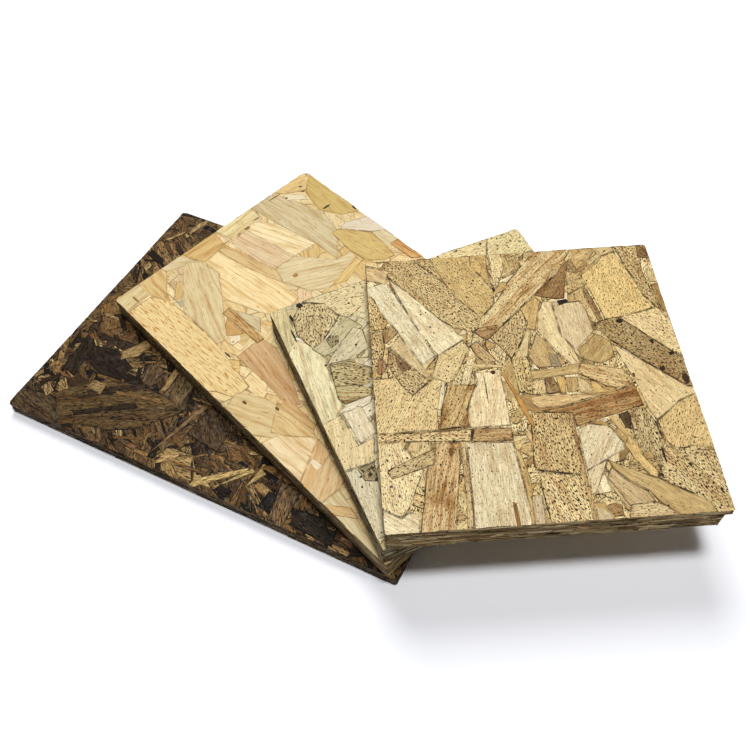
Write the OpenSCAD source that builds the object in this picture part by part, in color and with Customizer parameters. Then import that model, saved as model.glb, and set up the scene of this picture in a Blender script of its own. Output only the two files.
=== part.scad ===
// Stack of four sawn oriented strand board panels, fanned like cards about one shared corner.
// The panels lie flat, face to face, and each is turned further about the corner than the one above.
// Origin at the middle of the lowest panel's underside, +Z up, X and Y along the top panel's edges.

/* [Dark panel, lowest] */
// Length of the dark panel's near edge
dark_width = 222; // [160:1:300]
// Length of the dark panel's left edge
dark_depth = 313; // [220:1:420]
// Extra length of its right edge, where the far end is sawn out of square
dark_skew = -3; // [-12:0.5:12]
// Thickness of the dark panel
dark_thickness = 10; // [8:1:25]
// Turn of the dark panel from the top panel's edges
dark_turn = 60; // [45:0.5:75]

/* [Pine panel, second] */
// Length of the pine panel's near edge
pine_width = 200; // [160:1:300]
// Length of the pine panel's left edge
pine_depth = 303; // [220:1:420]
// Extra length of its right edge, where the far end is sawn out of square
pine_skew = 10; // [-12:0.5:12]
// Thickness of the pine panel
pine_thickness = 16; // [8:1:25]
// Turn of the pine panel from the top panel's edges
pine_turn = 39.5; // [30:0.5:50]
// How far its near corner lies to the right of the dark panel's
pine_slip_x = -6; // [-20:0.5:20]
// How far its near corner lies behind the dark panel's
pine_slip_y = 2; // [-20:0.5:20]
// Length broken off each edge at its blunted far corner
pine_blunt_corner = 4; // [1:0.5:15]

/* [Pale panel, third] */
// Length of the pale panel's near edge
pale_width = 203; // [160:1:300]
// Length of the pale panel's left edge
pale_depth = 205; // [160:1:320]
// Extra length of its right edge, where the far end is sawn out of square
pale_skew = 0; // [-12:0.5:12]
// Thickness of the pale panel
pale_thickness = 18; // [8:1:25]
// Turn of the pale panel from the top panel's edges
pale_turn = 20; // [10:0.5:30]
// How far its near corner lies to the right of the dark panel's
pale_slip_x = -7.5; // [-20:0.5:20]
// How far its near corner lies behind the dark panel's
pale_slip_y = 4; // [-20:0.5:20]

/* [Speckled panel, on top] */
// Length of the speckled panel's near edge
speckled_width = 204; // [160:1:300]
// Length of the speckled panel's left edge
speckled_depth = 217; // [160:1:320]
// Extra length of its right edge, where the far end is sawn out of square
speckled_skew = 0; // [-12:0.5:12]
// Thickness of the speckled panel
speckled_thickness = 18; // [8:1:25]
// How far its near corner lies to the right of the dark panel's
speckled_slip_x = -6; // [-20:0.5:20]
// How far its near corner lies behind the dark panel's
speckled_slip_y = 5.5; // [-20:0.5:20]
// Thickness of the face strands left standing over its chipped right corner
chip_skin = 5; // [3:0.5:7]
// Length broken off each edge under those strands
chip_reach = 6; // [3:0.5:15]

/* [Sawn edges] */
// Width of the worn flat along each arris
arris_wear = 0.6; // [0.2:0.1:1.5]
// Length worn off each edge at a plain corner
corner_wear = 1.2; // [0.5:0.1:4]
// Greatest length of a gap between strands in a sawn edge
gap_length = 22; // [8:1:30]
// Height of such a gap
gap_height = 1.2; // [0.5:0.1:2]
// Depth of such a gap
gap_depth = 3; // [1:0.5:8]
// Distance between the middles of neighbouring gaps
gap_spacing = 33; // [32:1:80]
// Thickness of the dense face strands, which have no gaps
face_layer = 2.5; // [2:0.5:3]

/* [Hidden] */

// Wear of the near, right, far and left corner of a panel, the order in which its sides run round it
plain_wear = [corner_wear, corner_wear, corner_wear, corner_wear];
blunted_wear = [corner_wear, corner_wear, pine_blunt_corner, corner_wear];

// Shares that vary a gap's length and its shift along the edge from one gap to the next
shortest_gap_share = 0.35;
gap_shift_share = 0.2;

// Heights at which the stacked undersides lie
pine_base = dark_thickness;
pale_base = pine_base + pine_thickness;
speckled_base = pale_base + pale_thickness;

// The dark panel's near corner, about which the stack is fanned
fan_corner = -turned([dark_width, dark_depth] / 2, dark_turn);

function turned(v, angle) = [v.x * cos(angle) - v.y * sin(angle), v.x * sin(angle) + v.y * cos(angle)];
function unit(v) = v / norm(v);

// The four sawn corners of a panel, with its near corner at the origin
function panel_corners(width, depth, skew) = [[0, 0], [width, 0], [width, depth + skew], [0, depth]];

// The same corners, each cut across by the wear that it has
function worn_outline(corners, wear) = [
    for (i = [0:3])
        let (before = corners[(i + 3) % 4], here = corners[i], after = corners[(i + 1) % 4])
        for (along = [unit(before - here), unit(after - here)])
            here + along * wear[i]
];

// Puts its children on one side: X runs along it, Y into the panel, Z up from the underside
module on_side(corners, side) {
    from = corners[side];
    run = corners[(side + 1) % 4] - from;
    translate(from)
        rotate(atan2(run.y, run.x))
            children();
}

// Bar that shaves the upper and lower arris of one side
module arris_cuts(length, thickness) {
    w = arris_wear;
    lower = [[-w, 2 * w], [-w, -w], [2 * w, -w]];
    upper = [for (p = lower) [p.x, thickness - p.y]];
    for (section = [lower, upper])
        translate([-w, 0, 0])
            rotate([90, 0, 90])
                linear_extrude(length + 2 * w)
                    polygon(section);
}

// One lens-shaped gap between strands, open at the sawn edge
module strand_gap(length, height) {
    rotate([90, 0, 0])
        translate([0, 0, -gap_depth])
            linear_extrude(2 * gap_depth)
                polygon([
                    [-length / 2, 0], [-length / 5, -height / 2], [length / 4, -height / 2],
                    [length / 2, 0], [length / 5, height / 2], [-length / 4, height / 2]
                ]);
}

// Row of gaps along one side, scattered through the core between the face strands
module strand_gaps(length, thickness, seed) {
    count = floor((length - 2 * gap_spacing) / gap_spacing) + 1;
    start = (length - (count - 1) * gap_spacing) / 2;
    lowest = face_layer + gap_height / 2;
    levels = rands(lowest, thickness - lowest, count, seed);
    lengths = rands(shortest_gap_share * gap_length, gap_length, count, seed + 1);
    shifts = rands(-gap_shift_share * gap_spacing, gap_shift_share * gap_spacing, count, seed + 2);
    for (i = [0:count - 1])
        translate([start + i * gap_spacing + shifts[i], 0, levels[i]])
            strand_gap(lengths[i], gap_height);
}

// One sawn panel with its near corner at the origin and its near edge along X
module sawn_panel(corners, thickness, wear, seed) {
    difference() {
        linear_extrude(thickness)
            polygon(worn_outline(corners, wear));
        for (side = [0:3]) {
            length = norm(corners[(side + 1) % 4] - corners[side]);
            on_side(corners, side) {
                arris_cuts(length, thickness);
                strand_gaps(length, thickness, seed + 10 * side);
            }
        }
    }
}

// Wedge broken out of the right corner, from the underside up to the face strands left over it
module right_corner_chip(width, thickness) {
    translate([width, 0, -thickness])
        linear_extrude(2 * thickness - chip_skin)
            polygon([[0, chip_reach], [-chip_reach, 0], [chip_reach, -chip_reach]]);
}

// Places a panel in the fan by its near corner
module in_fan(slip, base, turn) {
    corner = fan_corner + slip;
    translate([corner.x, corner.y, base])
        rotate(turn)
            children();
}

module dark_panel() {
    corners = panel_corners(dark_width, dark_depth, dark_skew);
    color("#5d4528")
        in_fan([0, 0], 0, dark_turn)
            sawn_panel(corners, dark_thickness, plain_wear, 11);
}

module pine_panel() {
    corners = panel_corners(pine_width, pine_depth, pine_skew);
    color("#e3cd96")
        in_fan([pine_slip_x, pine_slip_y], pine_base, pine_turn)
            sawn_panel(corners, pine_thickness, blunted_wear, 111);
}

module pale_panel() {
    corners = panel_corners(pale_width, pale_depth, pale_skew);
    color("#d8cda6")
        in_fan([pale_slip_x, pale_slip_y], pale_base, pale_turn)
            sawn_panel(corners, pale_thickness, plain_wear, 211);
}

module speckled_panel() {
    corners = panel_corners(speckled_width, speckled_depth, speckled_skew);
    color("#cdb27a")
        in_fan([speckled_slip_x, speckled_slip_y], speckled_base, 0)
            difference() {
                sawn_panel(corners, speckled_thickness, plain_wear, 311);
                right_corner_chip(speckled_width, speckled_thickness);
            }
}

dark_panel();
pine_panel();
pale_panel();
speckled_panel();
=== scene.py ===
"""Four sawn oriented strand board panels, fanned about one shared corner.

Each board is one closed block. The visible outline of every strand is cut into its faces and sawn edges,
each strand is then sunk by its own small depth, and its rim is pressed a little deeper than its middle.
"""

import math
import random
from collections import namedtuple
from itertools import accumulate

import bmesh
import bpy
from mathutils import Matrix, Vector, noise
from mathutils.geometry import delaunay_2d_cdt


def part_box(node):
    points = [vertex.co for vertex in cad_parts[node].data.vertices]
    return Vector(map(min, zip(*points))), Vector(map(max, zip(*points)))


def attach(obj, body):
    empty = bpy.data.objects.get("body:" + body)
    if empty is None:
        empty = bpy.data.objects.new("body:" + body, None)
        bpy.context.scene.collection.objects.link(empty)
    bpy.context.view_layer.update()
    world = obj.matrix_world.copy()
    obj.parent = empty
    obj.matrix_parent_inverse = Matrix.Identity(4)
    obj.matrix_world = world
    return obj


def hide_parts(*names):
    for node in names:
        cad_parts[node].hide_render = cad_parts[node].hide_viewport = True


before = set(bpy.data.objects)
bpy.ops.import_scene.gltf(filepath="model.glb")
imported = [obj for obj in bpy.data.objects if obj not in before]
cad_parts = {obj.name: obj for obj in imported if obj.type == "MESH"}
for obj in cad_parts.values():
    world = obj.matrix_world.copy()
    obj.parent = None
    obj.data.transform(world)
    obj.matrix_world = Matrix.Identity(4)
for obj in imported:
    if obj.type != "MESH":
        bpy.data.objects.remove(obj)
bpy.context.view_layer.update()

MM = 0.001

# A board lies in its own panel frame, in millimetres: near corner at the origin, near edge along X.
# The sizes and places are the solids' own, and each board's level and thickness come from its solid.
Board = namedtuple("Board", "node slot width depth skew turn slip far_wear chip_reach chip_skin")
DARK = Board("dark_panel", "dark_strands", 222, 313, -3, 60, (0, 0), 1.2, 0, 0)
PINE = Board("pine_panel", "pine_strands", 200, 303, 10, 39.5, (-6, 2), 4, 0, 0)
PALE = Board("pale_panel", "pale_strands", 203, 205, 0, 20, (-7.5, 4), 1.2, 0, 0)
SPECKLED = Board("speckled_panel", "speckled_strands", 204, 217, 0, 0, (-6, 5.5), 1.2, 6, 5)
# Wear of a plain corner and depth of a gap in a sawn edge, as in the solids
CORNER_WEAR = 1.2
GAP_DEPTH = 3.0
# A strand's corner that lies this near to a board's edge is meant to lie on it
EDGE_SNAP = 1.0
# Spacing of the points that tell which strands are in sight
SIGHT_GRID = 1.0
# Depth of the ground between a face's strands, to which its spots are sunk too, and of that in a sawn edge
FACE_GROUND, EDGE_GROUND = 0.4, 0.5
# How much deeper a strand's rim is pressed than its middle, and how wide the rim is at most
GROOVE = 0.14
WIDEST_RIM = 1.2
# Share by which the worn arris is drawn in further at some points, and how often that changes per millimetre
ARRIS_RAGGED = 0.4
RAGGED_PER_MM = 3.7
# Points of the cut that lie this near are one, lie on an edge, or are welded
SAME_POINT, ON_EDGE, WELD = 0.005, 0.004, 0.02
# Seeded strands that fill the faces: lengths, widths and depths, and how far they turn off the heading
Scatter = namedtuple("Scatter", "length breadth depth")
BROAD = Scatter((40, 120), (10, 28), (0.2, 0.4))
SLIVER = Scatter((10, 70), (2, 8), (0.1, 0.4))
HEADING_SPREAD = 38
# How far the middles of those strands may lie past the face
OVERHANG = 5
# Depth of the lowest listed strand, and how much higher the topmost one lies
SEEN_DEPTH, SEEN_RISE = 0.28, 0.22
# Seeded strand ends in the sawn edges: height of a layer, length and depth of an end
EDGE_PITCH, EDGE_RUN, EDGE_DEPTH = (0.9, 2.1), (10, 48), (0.05, 0.45)
# Shade at the bottom of a gap in a sawn edge, and the largest area in square millimetres that one has
GAP_SHADE = "#1a130b"
LARGEST_GAP = 100
# Neighbouring cells that differ less than this are one flat face
STILL_FLAT = math.radians(1)

# The colours were read with stains and flecks in them, so the wood between those is nearer this pale one
PALE_GROUND = "#ffeaae"
STAIN_LIFT = 0.15
FLECK_LIFT = 0.9

# The kind of cells that Blender's flat arrangement gives: whole faces that a mesh can hold
VALID_FACES = 4

# How a strand looks: share of dark flecks, strength of the growth lines, darkness of its rim line of resin
# and painted shade.
Kind = namedtuple("Kind", "flecks lines rim")
KINDS = {
    "plain": Kind(0.38, 0.40, 0.80),
    "smooth": Kind(0.25, 0.30, 0.75),
    "dotted": Kind(0.66, 0.30, 0.85),
    "dense": Kind(0.95, 0.50, 0.95),
    "streaked": Kind(0.62, 0.95, 0.95),
    "lined": Kind(0.15, 0.60, 0.45),
    "dark": Kind(0.70, 0.75, 1.00),
    "edge": Kind(0.35, 0.80, 1.00),
}

# Visible strands of the speckled board's face, lowest first: kind, colour, outline in its panel frame
SPECKLED_STRANDS = [
    ("dotted", "#dcc48e", (0, 112), (20, 112), (25, 97), (38, 108), (46, 112), (40, 86), (38, 69), (0, 69)),
    ("dotted", "#d8bf8c", (38, 110), (44, 128), (62, 139.5), (66, 133), (56, 112), (50, 104)),
    ("dense", "#c4a46c", (12, 211), (20, 218), (33, 217), (62, 183), (80, 152), (70, 146), (57, 150),
     (47, 160), (31, 182), (16, 200)),
    ("dense", "#c2a263", (33, 217), (48, 214), (61, 195), (72, 181), (77, 160), (80, 152), (62, 183)),
    ("dotted", "#c8a765", (46, 218), (84, 218), (76, 206), (89, 183), (88, 170), (77, 158), (70, 166),
     (60, 180), (50, 205)),
    ("dotted", "#c3a05c", (76, 218), (88, 218), (87, 196), (89.5, 184), (80, 199), (75, 206)),
    ("dotted", "#e4d2a2", (89.5, 218), (98.5, 218), (99.5, 203), (92, 184), (89, 192)),
    ("streaked", "#ceb482", (72, 147), (77, 158), (88, 170), (100, 190), (110, 201), (124, 218), (152, 218),
     (140, 200.5), (128, 187), (112.5, 172), (94, 153.5), (80, 140)),
    ("dark", "#a27a4a", (70, 146), (74, 149), (86, 151), (90, 148), (79, 138), (75, 140)),
    ("plain", "#efe3c0", (0, 191), (14, 197), (22.5, 178), (36.5, 141), (43, 127.5), (33, 120.5), (20, 147),
     (9, 167)),
    ("plain", "#eee0ba", (15.8, 199.5), (31, 182), (47, 160.5), (64, 140.5), (44, 127.5), (31, 155),
     (22.5, 178)),
    ("plain", "#d9c193", (0, 214.5), (9, 210), (16.5, 206), (13.5, 194), (0, 200)),
    ("plain", "#dcc694", (0, 218), (8, 218), (10, 210), (0, 215)),
    ("dense", "#c9aa6c", (0, 190), (5, 181), (9, 167), (13, 160), (11, 153), (0, 152)),
    ("dark", "#b6965e", (9, 153), (16, 156), (19.5, 150), (11, 140.5), (8, 142)),
    ("dense", "#ac8c58", (0, 152), (9, 152), (10, 140), (6, 118), (0, 118)),
    ("plain", "#dcc596", (12.5, 136.5), (20, 147.5), (27, 132), (33, 120.5), (38, 111), (34, 110)),
    ("dense", "#b39a6c", (11.5, 135.5), (37, 107.5), (25, 96.5), (19, 103), (10, 122)),
    ("dark", "#7c5c38", (15, 132.5), (24, 122), (26, 118.5), (20, 116), (17, 121)),
    ("dark", "#a06c4a", (5, 130), (9, 126), (10, 120), (6, 114.5), (3, 116)),
    ("dark", "#8e622e", (115.5, 174.7), (120, 179.7), (135, 194), (139, 199.7), (147, 208), (143, 196),
     (139, 182), (136.5, 170.5), (130.5, 170)),
    ("plain", "#cbab6c", (96, 155), (105, 164.5), (116, 174.5), (120, 169), (116, 160), (112, 143),
     (106, 146)),
    ("plain", "#e4d1a3", (112.5, 143), (116, 160), (121, 169.5), (127, 168.5), (128, 139), (134.5, 126),
     (137, 112), (131, 111), (119, 131)),
    ("smooth", "#dec9a0", (127, 168.5), (138, 166.5), (146, 167), (149.5, 158), (151, 140), (136.5, 125),
     (134.5, 126), (128, 139)),
    ("dark", "#1d120a", (130.8, 169), (137.5, 170), (138.7, 166.8), (131.5, 164)),
    ("dotted", "#c7a86b", (142, 196), (148, 193), (152, 192), (152.5, 181), (139, 173), (140, 182)),
    ("dotted", "#c0a066", (139, 173), (150, 180), (152, 161), (149, 158), (146, 167), (138, 166)),
    ("streaked", "#9a7440", (146.5, 193), (152, 199), (157, 203.5), (161, 203), (153, 194)),
    ("plain", "#cdb47e", (150, 210), (158, 216), (166, 213), (160, 205), (152, 205)),
    ("dotted", "#c8ac74", (163, 218), (178, 218), (181, 212), (170, 208), (160, 199), (158, 204),
     (167, 211)),
    ("dense", "#b4945a", (180, 218), (198, 218), (196, 190), (200, 152), (191, 168), (184, 198)),
    ("dark", "#8a6233", (197, 217), (202, 213), (204, 203), (196, 204)),
    ("streaked", "#a87f3c", (198, 178), (204, 180), (204, 152), (200, 153)),
    ("plain", "#c8b482", (198, 192), (204, 194), (204, 180), (198, 180)),
    ("dotted", "#dcb86e", (151.5, 191), (162, 198.5), (170, 208), (180, 211.5), (184, 198), (188.5, 183),
     (191, 169), (197, 157), (170, 150), (160, 149), (157.5, 165)),
    ("dotted", "#dcc492", (170, 150), (197, 157), (204, 140), (204, 112), (198, 118), (186, 131)),
    ("dark", "#98744a", (150, 180.5), (152.8, 180), (157, 161), (159, 148), (155.5, 148), (152.3, 161)),
    ("plain", "#c3a468", (136.5, 125), (151.5, 138), (160, 130), (160, 117), (150, 112), (139, 116)),
    ("plain", "#c2a873", (103, 122), (112, 142), (119, 131), (128, 114), (120, 112), (108, 112)),
    ("plain", "#9a8768", (117, 124), (122, 122), (124, 112), (117, 112)),
    ("plain", "#e2cb99", (160, 129), (171, 118.5), (180, 109.5), (190, 100), (200, 90), (204, 88), (204, 85),
     (192, 79), (183, 71), (174, 65.5), (171, 75), (169.5, 91), (165, 108)),
    ("dense", "#a2804a", (151, 145), (157, 148.5), (167, 151), (172, 148.5), (198.5, 118), (204, 111),
     (204, 88), (200, 90), (190, 100), (180, 109.5), (170.8, 119), (160, 130.5)),
    ("dense", "#b29462", (80, 140), (94, 153.5), (105, 164), (108, 150), (100, 132), (92, 120), (88, 128)),
    ("dark", "#ba9a68", (66, 134), (71, 138), (83, 120), (75, 118), (69, 125)),
    ("plain", "#d6c08c", (93, 120), (97, 126), (105, 143), (108, 143), (103, 122)),
    ("smooth", "#d0b888", (60, 119.5), (73, 117.8), (85.5, 116.5), (85.5, 114), (73, 115.5), (60.5, 118.3)),
    ("plain", "#cfb176", (102, 110), (120, 111), (136, 114), (133, 105), (120, 104.5), (103, 103)),
    ("dotted", "#d2b98a", (102, 102), (111, 103), (110, 91), (101, 91)),
    ("dark", "#9e845e", (111, 103.5), (117, 103.5), (119.5, 91), (110, 91)),
    ("plain", "#d0a95c", (118, 104), (124, 104), (123, 91), (119.5, 91)),
    ("plain", "#c9ad74", (124, 103.5), (132, 103), (131, 91), (123.5, 91)),
    ("plain", "#d4bc8c", (132, 103), (138, 98), (140, 91), (131, 91)),
    ("plain", "#d1b06a", (139.5, 99), (143, 98), (149, 89), (140, 89)),
    ("plain", "#ccb280", (100, 90), (120, 90), (140, 88.5), (147, 88), (131, 84), (118, 80.5), (103, 80.5),
     (100, 83)),
    ("streaked", "#c9ae7a", (132.5, 105.5), (136, 114), (150, 110), (163, 107), (167, 95), (160, 91.5),
     (150, 93)),
    ("plain", "#efe2bd", (60, 89), (66.5, 102), (66, 112), (83, 112), (84, 95), (84, 69), (58, 69),
     (58.5, 82)),
    ("plain", "#ede1bf", (54.5, 58.5), (83.5, 57), (84.5, 45), (86, 20), (86, 0), (52, 0), (53.5, 20),
     (54, 44)),
    ("streaked", "#a8823f", (76.5, 16), (79, 15), (79.5, 0), (77, 0)),
    ("plain", "#cfae6c", (83.5, 57), (85.5, 57), (90, 30), (88, 0), (85.5, 0), (86, 20), (85, 40)),
    ("dense", "#b8955c", (97, 78), (123, 76), (123, 30), (94, 36), (93, 40), (96, 66)),
    ("dense", "#cbb084", (94, 36), (123, 30), (123, 0), (97, 0)),
    ("dark", "#b8925e", (121, 77), (123.5, 75), (123.5, 0), (121, 0)),
    ("plain", "#cdb896", (88, 19), (95, 19), (94, 0), (87, 0)),
    ("smooth", "#c98f3b", (83, 111), (86, 108), (91.5, 94), (95.5, 83), (98.8, 67), (97, 66.5), (92, 81),
     (89.5, 92), (86, 102)),
    ("smooth", "#b48c58", (97.5, 63), (99, 62), (94, 50), (92, 48)),
    ("streaked", "#cbab70", (47.5, 103.7), (66.3, 102), (60.5, 89), (58.3, 82), (57.5, 70), (39.5, 69),
     (41.5, 84)),
    ("streaked", "#d0b282", (35.5, 60), (50.5, 59.5), (50, 47), (47, 30), (44, 12), (42, 0), (20.5, 0),
     (25, 20), (28, 40), (33, 52)),
    ("streaked", "#c6ac80", (50.5, 60), (54, 59.5), (53.5, 44), (53, 10), (51.5, 0), (48, 0), (50, 20),
     (50.5, 40)),
    ("dotted", "#ebdcb4", (0, 62), (13, 62), (27, 41), (21, 28), (18, 19), (14.5, 12.5), (10.8, 10.3),
     (5, 13), (0, 18)),
    ("plain", "#e9dcb9", (0, 18), (11, 10), (16, 14), (22, 12), (20.5, 0), (0, 0)),
    ("dark", "#b8a072", (4.5, 41.3), (7, 44), (21.5, 50.5), (31, 54.5), (36, 57), (34.5, 49), (33, 44.3),
     (20, 40), (7.3, 36)),
    ("dense", "#c6a878", (0, 68.5), (12, 69), (40, 68.5), (60, 68.5), (58, 59), (40, 60.5), (13, 62),
     (0, 63)),
    ("dark", "#ac8656", (60, 68.5), (70, 68.5), (84, 67.5), (84, 57.5), (70, 58), (58, 59)),
    ("plain", "#e6d9b8", (124, 63), (134, 66.5), (144, 64), (147, 58.5), (150.5, 51), (150, 46.5), (138, 40),
     (124, 33)),
    ("plain", "#e3d5b2", (124, 33), (138, 40), (132, 28), (124.5, 14)),
    ("plain", "#b48f55", (134, 66.5), (140, 69), (150, 58), (151, 50), (147, 58), (144, 63.5)),
    ("streaked", "#ac8046", (104, 78.5), (120, 80.5), (147, 88), (154, 90), (167, 94.5), (169.5, 77),
     (160, 75.5), (150, 72), (140, 69.5), (124, 64.5), (123.5, 75), (110, 76)),
    ("dense", "#b09a6e", (158, 75), (169, 76), (174, 64), (175, 52), (172, 35), (168, 33), (165, 44),
     (160, 43), (158, 52)),
    ("dark", "#4f3a22", (151.5, 72), (158, 74), (159.5, 70), (157, 60), (154, 62)),
    ("smooth", "#c8a86e", (145, 70.5), (150, 71), (157, 52), (155, 52), (149, 62)),
    ("dense", "#c2a676", (176, 48), (180, 44), (188, 43), (204, 42), (204, 0), (195, 0), (184, 12.5),
     (170, 21), (165, 25), (168, 30), (170, 40)),
    ("dotted", "#c9aa70", (174, 65), (183, 71.5), (192, 79), (204, 85.5), (204, 43), (191, 45.5), (187, 44),
     (180, 44.5), (176, 50)),
    ("plain", "#dcbd7a", (150.5, 50), (155, 57), (158, 50.5), (160, 41), (166.5, 30), (165, 25), (160, 27.5),
     (153, 42)),
    ("plain", "#ceb488", (139, 35), (147, 24.5), (157, 17), (160, 10), (145, 6), (135, 28)),
    ("dark", "#a07c4a", (130, 9.5), (136.5, 11), (140, 9), (139.5, 2), (134, 1.5)),
    ("plain", "#d2ba90", (124, 10), (132, 5), (134, 0), (124, 0)),
    ("dotted", "#d2ba90", (145, 9), (160, 10), (172, 2.5), (172, 0), (141, 0)),
    ("smooth", "#c2a46c", (138, 40.5), (150, 32.5), (161, 27.5), (170, 21), (184, 12.5), (191, 7), (195, 0),
     (174, 0), (161, 10), (157.5, 17), (147.5, 24.5), (139, 35)),
]

# Knots, pitch spots and cracks in that face: colour, middle, length across X and along Y
SPECKLED_SPOTS = [
    ("#1d120a", (89, 183), 2, 5), ("#2a1b10", (36, 164.5), 1.4, 1.8), ("#2a1b10", (39.5, 166), 1.2, 1.4),
    ("#7a3c1e", (168.5, 101.5), 2, 4), ("#241509", (169.5, 147), 5, 4), ("#241509", (187, 128), 2.5, 4),
    ("#241509", (197, 117), 4, 3), ("#2c1a0c", (188, 105), 4, 4), ("#3a2412", (201, 96), 5, 9),
    ("#3c1e10", (78.5, 111), 3.4, 3.4), ("#6b4a22", (44.5, 53), 3, 6), ("#6a5a70", (6.5, 31.5), 2.4, 2),
    ("#6a5a70", (11, 24.7), 2, 2), ("#2a1b10", (186.5, 33), 2, 3), ("#2a1b10", (168, 27), 2, 3),
    ("#2a1b10", (200, 15), 2, 3), ("#2a1b10", (191.5, 17), 1.6, 2.4), ("#4a2c14", (130, 92), 1.6, 1.6),
    ("#3a2412", (72.3, 98), 0.8, 24), ("#2a1b10", (172.5, 41), 1.6, 13),
]

# Visible strands and spots of the pine board's face, in the same form
PINE_STRANDS = [
    ("dotted", "#e8cd95", (0, 285), (22, 286), (30, 275), (31, 255), (31, 213), (26, 185), (24, 165),
     (10, 165), (4, 178), (0, 185)),
    ("lined", "#e6d3a0", (0, 303), (22, 305), (24, 288), (0, 286)),
    ("lined", "#dcc48c", (22, 286), (22, 305), (42, 306), (46, 299), (33, 280), (30, 270)),
    ("plain", "#d3b578", (32, 270), (45, 285), (49, 281), (40, 267)),
    ("lined", "#e6d3aa", (42, 306), (62, 307), (72, 287), (62, 293), (46, 299)),
    ("smooth", "#b3ab95", (32, 260), (33, 268), (38, 266), (35, 261)),
    ("lined", "#d8b878", (64, 308), (99, 310), (97, 290), (88, 289), (74, 286), (68, 295)),
    ("lined", "#ecd9a9", (60, 250), (74, 268), (73, 286), (88, 289), (92, 262), (103, 240), (103, 205),
     (80, 200), (73, 212), (62, 240)),
    ("lined", "#e2c48e", (88, 289), (97, 290), (103, 262), (110, 240), (103, 225), (92, 262)),
    ("lined", "#e9d9a6", (99, 310), (138, 311), (137, 296), (118, 293), (104, 290)),
    ("lined", "#dfc6a2", (99, 308), (104, 290), (119, 292), (121, 280), (128, 241), (108, 241), (103, 262)),
    ("lined", "#efe0b6", (121, 280), (119, 293), (130, 294), (142, 278), (148, 258), (150, 240), (128, 241)),
    ("lined", "#dccfa8", (137, 311), (160, 312), (172, 283), (177, 262), (172, 240), (150, 214), (149, 240),
     (142, 275)),
    ("plain", "#d6bd82", (160, 312), (198, 313), (197, 300), (184, 294), (168, 303)),
    ("smooth", "#eadfc0", (167, 303), (180, 292), (178, 284), (165, 296)),
    ("lined", "#d9ba70", (176, 268), (182, 292), (190, 300), (200, 310), (200, 242), (186, 250)),
    ("lined", "#ead9ae", (108, 241), (128, 241), (150, 215), (163, 214), (163, 205), (150, 199), (125, 196),
     (112, 205), (104, 226)),
    ("lined", "#dfc583", (128, 197), (162, 207), (163, 200), (140, 192)),
    ("plain", "#d9b970", (166, 240), (173, 240), (190, 218), (188, 200), (185, 186), (176, 188), (165, 198),
     (163, 215)),
    ("smooth", "#e6dccb", (174, 239), (181, 242), (200, 233), (200, 210), (190, 218)),
    ("streaked", "#c08a45", (191, 198), (200, 198), (200, 168), (192, 174)),
    ("lined", "#c9a97f", (33, 193), (57, 195), (60, 180), (50, 150), (40, 128), (32, 135), (34, 160)),
    ("lined", "#ead7a8", (31, 212), (31, 256), (56, 292), (63, 297), (72, 288), (74, 268), (57, 240),
     (44, 220), (40, 210)),
    ("plain", "#cfc4a2", (59, 232), (69, 210), (60, 198), (58, 215)),
    ("plain", "#c69a5a", (40, 214), (45, 222), (51, 228), (51, 206), (46, 209)),
    ("streaked", "#b98d52", (51, 233.5), (59, 235), (58.5, 192), (52, 192)),
    ("smooth", "#efe6cc", (37, 206), (42, 212), (48, 207), (46, 203.5), (38, 203)),
    ("lined", "#e8d3a0", (0, 162), (14, 168), (26, 150), (32, 118), (10, 118), (0, 135)),
    ("lined", "#ddc08a", (10, 125), (30, 142), (35, 110), (30, 100), (20, 110)),
    ("lined", "#cfae78", (28, 142), (37, 132), (37, 108), (32, 105)),
    ("lined", "#eed9b0", (0, 124), (12, 120), (31, 99), (0, 80)),
    ("lined", "#d9b98a", (0, 80), (31, 99), (29, 84), (10, 70), (0, 72)),
    ("smooth", "#eee4c9", (14, 89), (18, 89), (19, 80), (14, 81)),
    ("lined", "#e3c89a", (0, 71), (14, 80), (27, 84), (24, 62), (16, 60), (0, 60)),
    ("lined", "#e6d6ac", (0, 60), (16, 60), (9, 36), (3, 8), (0, 8)),
    ("plain", "#c8a876", (0, 62), (12, 45), (10, 35), (0, 52)),
]

PINE_SPOTS = [
    ("#8f6a2c", (12, 292), 2, 9), ("#4a3a22", (30, 199), 1.6, 8), ("#5a4020", (13, 157), 2.4, 4),
    ("#6a4a26", (26, 137), 2.4, 4), ("#2a2118", (183.5, 266.5), 9, 2), ("#a87c3c", (115.5, 225), 5, 4),
    ("#8a6a3c", (121, 293), 6, 3), ("#8f7440", (133, 296.5), 7, 1.6), ("#9a7c48", (112, 292), 4, 2),
    ("#8a6c36", (160, 306), 14, 1.6), ("#4a3a22", (166.5, 298), 2.4, 2), ("#6e7076", (184, 301), 3, 3),
    ("#5c4a2e", (182, 295), 5, 1.6), ("#3a2c1a", (199, 249), 2, 6), ("#8c7440", (97, 292), 12, 1),
]

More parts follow.
